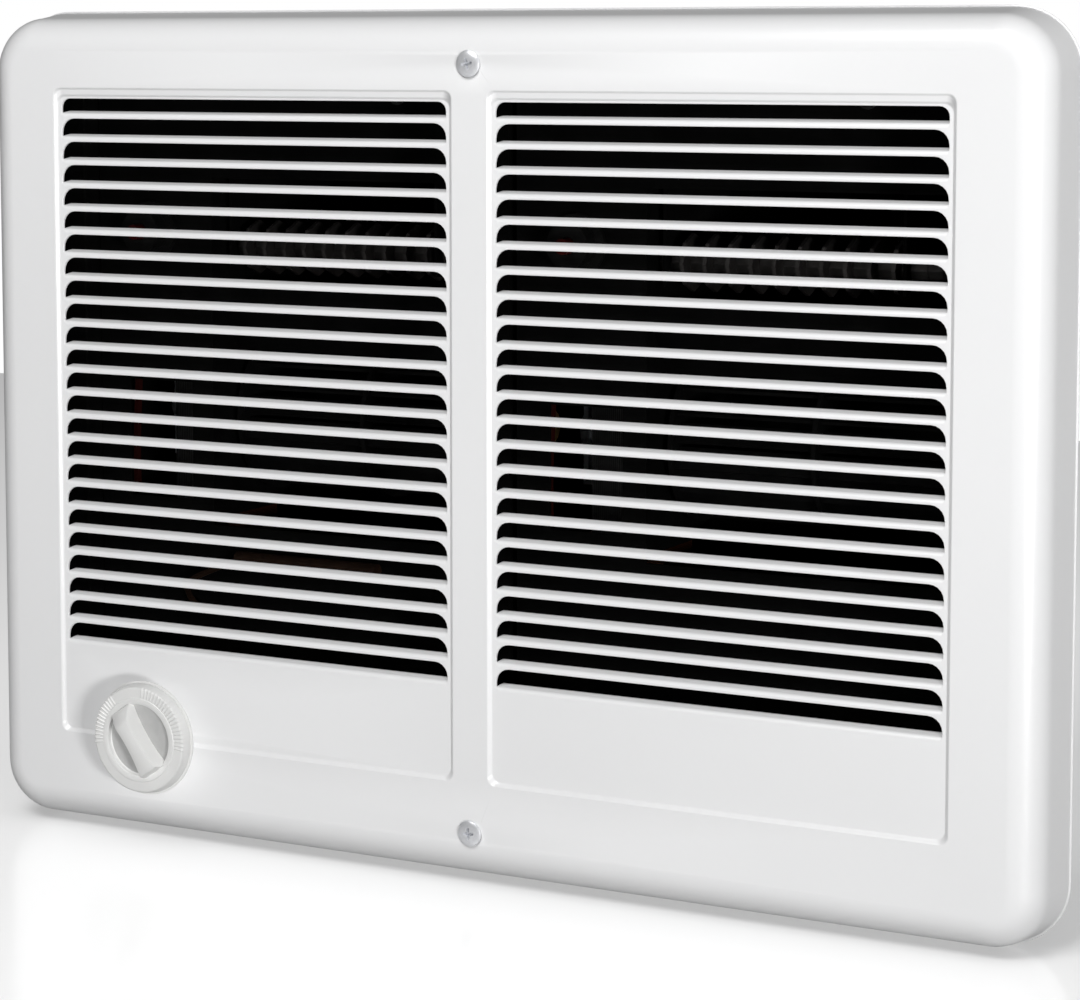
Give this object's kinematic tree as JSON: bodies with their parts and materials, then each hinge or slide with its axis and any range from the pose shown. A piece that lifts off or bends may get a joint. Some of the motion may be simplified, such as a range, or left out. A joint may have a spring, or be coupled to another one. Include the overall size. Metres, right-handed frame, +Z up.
{
  "type": "bathroom wall fan heater",
  "caption": "Recessed electric fan heater for a bathroom wall: white louvred steel cover with a thermostat dial over a wall can that holds blower and element modules.",
  "frame": {"origin": "centre of the cover on the finished wall surface", "axes": "+X to the viewer's right, +Y into the wall, +Z up; the front of the cover faces -Y"},
  "size_m": [0.411, 0.1339, 0.302],
  "materials": {
    "white_enamel": "satin white baked enamel with a fine texture",
    "cover_screw_steel": "bright zinc plated",
    "white_plastic": "off-white satin moulded plastic",
    "black_enamel": "matte black heat-resistant enamel",
    "zinc_steel": "galvanised sheet",
    "screw_steel": "black oxide finish",
    "laminated_steel": "dark laminations",
    "copper_winding": "enamelled copper wire",
    "copper_tube": "drawn copper",
    "sintered_bronze": "sintered, oil soaked",
    "black_aluminium": "thin black painted sheet",
    "element_steel": "heat darkened steel sheath and fins",
    "black_phenolic": "moulded phenolic",
    "red_plastic": "moulded, glossy",
    "red_insulation": "high temperature wire insulation",
    "black_insulation": "high temperature wire insulation",
    "green_screw": "green dyed zinc"
  },
  "bodies": {
    "housing": {"front_cover": "white_enamel", "cover_screw_top": "cover_screw_steel", "cover_screw_bottom": "cover_screw_steel", "wall_can": "zinc_steel", "ground_screw": "green_screw", "thermostat_body": "black_phenolic", "thermostat_nut": "screw_steel", "sensing_bulb": "copper_tube", "jumper_lead": "black_insulation", "thermostat_lead": "red_insulation", "left_deck": "black_enamel", "left_deck_screw_top": "screw_steel", "left_deck_screw_bottom": "screw_steel", "left_blower_housing": "black_enamel", "left_end_bearing": "sintered_bronze", "left_motor_stator": "laminated_steel", "left_motor_coil": "copper_winding", "left_bearing_bracket_outer": "zinc_steel", "left_bearing_bracket_inner": "zinc_steel", "left_motor_mount": "zinc_steel", "left_heating_element": "element_steel", "left_element_support_start": "zinc_steel", "left_element_support_end": "zinc_steel", "left_limit_switch": "black_phenolic", "left_terminal_block": "black_phenolic", "left_motor_lead": "black_insulation", "left_supply_lead": "black_insulation", "left_element_lead": "red_insulation", "left_link_lead": "red_insulation", "right_deck": "black_enamel", "right_deck_screw_top": "screw_steel", "right_deck_screw_bottom": "screw_steel", "right_blower_housing": "black_enamel", "right_end_bearing": "sintered_bronze", "right_motor_stator": "laminated_steel", "right_motor_coil": "copper_winding", "right_bearing_bracket_outer": "zinc_steel", "right_bearing_bracket_inner": "zinc_steel", "right_motor_mount": "zinc_steel", "right_heating_element": "element_steel", "right_element_support_start": "zinc_steel", "right_element_support_end": "zinc_steel", "right_limit_switch": "black_phenolic", "right_terminal_block": "black_phenolic", "right_motor_lead": "black_insulation", "right_supply_lead": "black_insulation", "right_element_lead": "red_insulation", "right_link_lead": "red_insulation"},
    "dial": {"thermostat_dial": "white_plastic", "thermostat_shaft": "screw_steel"},
    "left_fan": {"left_blower_wheel": "black_aluminium", "left_blower_shaft": "screw_steel", "left_motor_rotor": "laminated_steel"},
    "right_fan": {"right_blower_wheel": "black_aluminium", "right_blower_shaft": "screw_steel", "right_motor_rotor": "laminated_steel"},
    "left_button": {"left_reset_button": "red_plastic"},
    "right_button": {"right_reset_button": "red_plastic"}
  },
  "joints": [
    {"name": "dial_turn", "type": "hinge", "parent": "housing", "child": "dial", "pos_m": [-0.1295, -0.03, -0.1112], "axis": [0, 1, 0], "range_deg": [-115, 155]},
    {"name": "left_fan_spin", "type": "hinge", "parent": "housing", "child": "left_fan", "pos_m": [-0.0695, 0.05, 0], "axis": [1, 0, 0], "continuous": true},
    {"name": "left_reset_press", "type": "slide", "parent": "housing", "child": "left_button", "axis": [0, 1, 0], "range_m": [0, 0.002], "stiffness_N_per_m": 400, "springref_m": -0.001},
    {"name": "right_fan_spin", "type": "hinge", "parent": "housing", "child": "right_fan", "pos_m": [0.1075, 0.05, 0], "axis": [1, 0, 0], "continuous": true},
    {"name": "right_reset_press", "type": "slide", "parent": "housing", "child": "right_button", "axis": [0, 1, 0], "range_m": [0, 0.002], "stiffness_N_per_m": 400, "springref_m": -0.001}
  ]
}
